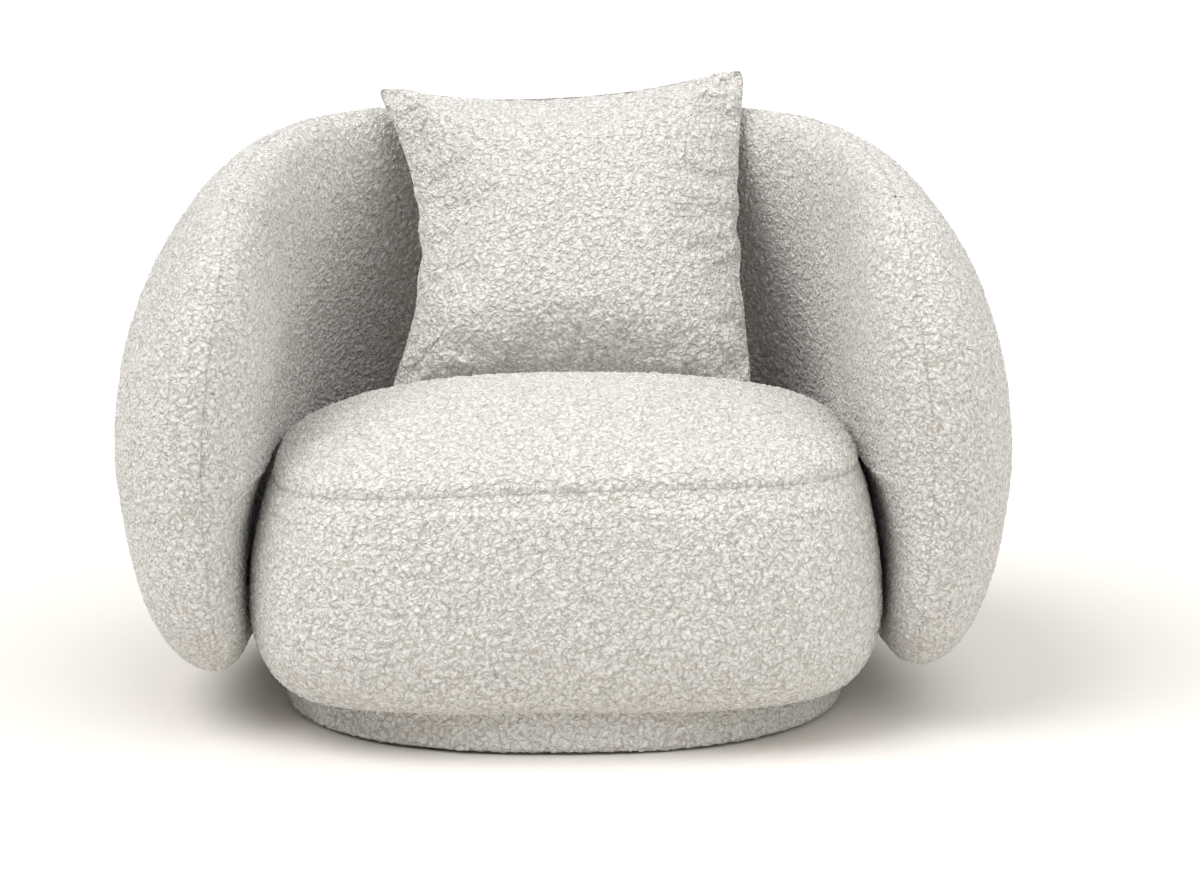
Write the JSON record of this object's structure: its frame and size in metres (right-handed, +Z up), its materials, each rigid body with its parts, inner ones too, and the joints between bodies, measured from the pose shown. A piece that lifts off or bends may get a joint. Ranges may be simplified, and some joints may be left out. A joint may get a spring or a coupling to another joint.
{
  "type": "upholstered armchair",
  "caption": "Low rounded lounge chair: a horseshoe boucle shell forms back and arms round a domed seat on an inset plinth, with a loose cushion.",
  "frame": {"origin": "on the floor, under the middle of the chair's plan", "axes": "+X across the arms, +Y towards the back, +Z up; the front faces -Y"},
  "size_m": [0.9484, 0.7492, 0.6454],
  "materials": {
    "boucle": "cream curly boucle, matt",
    "cushion_boucle": "cream curly boucle, matt, finer loop",
    "foam": "open-cell upholstery foam, matt",
    "wadding": "thin polyester wadding",
    "cushion_fill": "fibre-filled calico case",
    "felt": "grey needled felt",
    "plywood": "birch plywood, unfinished",
    "hardwood": "beech, unfinished",
    "webbing": "black elastic webbing",
    "spring_steel": "dark oiled spring steel",
    "glide_plastic": "black nylon",
    "zinc_steel": "bright zinc plate",
    "zip_tape": "cream woven tape",
    "zip_coil": "cream nylon coil",
    "zip_metal": "cream enamelled zinc alloy"
  },
  "bodies": {
    "chair": {"plinth_lower_board": "plywood", "plinth_spacers": "hardwood", "plinth_upper_board": "plywood", "plinth_wadding": "wadding", "plinth_cover": "boucle", "glides": "glide_plastic", "glide_screws": "zinc_steel", "plinth_screws": "zinc_steel", "seat_base_ring": "plywood", "seat_posts": "hardwood", "seat_top_ring": "plywood", "seat_springs": "spring_steel", "spring_clips": "spring_steel", "spring_ties": "spring_steel", "seat_insulator": "felt", "seat_foam": "foam", "seat_border_foam": "foam", "seat_cover_top": "boucle", "seat_cover_side": "boucle", "shell_base_rail": "plywood", "shell_middle_rail": "plywood", "shell_top_rail": "plywood", "shell_ribs": "plywood", "back_webbing": "webbing", "shell_outer_board": "plywood", "shell_outer_foam": "foam", "shell_inner_foam": "foam", "shell_outer_cover": "boucle", "shell_inner_cover": "boucle", "connecting_blocks": "hardwood", "shell_bolts": "zinc_steel", "shell_washers": "zinc_steel", "shell_nuts": "zinc_steel"},
    "cushion": {"cushion_insert": "cushion_fill", "cushion_front": "cushion_boucle", "cushion_back": "cushion_boucle", "zip_tape": "zip_tape", "zip_coil": "zip_coil"},
    "zip_slider": {"zip_slider": "zip_metal"}
  },
  "joints": [
    {"name": "cushion_lift", "type": "slide", "parent": "chair", "child": "cushion", "axis": [0, -0.5, 0.866], "range_m": [0, 0.42]},
    {"name": "zip_run", "type": "hinge", "parent": "cushion", "child": "zip_slider", "pos_m": [0.009, -0.66107, -0.66499], "axis": [0, -0.8387, 0.5446], "range_deg": [-12.6, 0]}
  ]
}
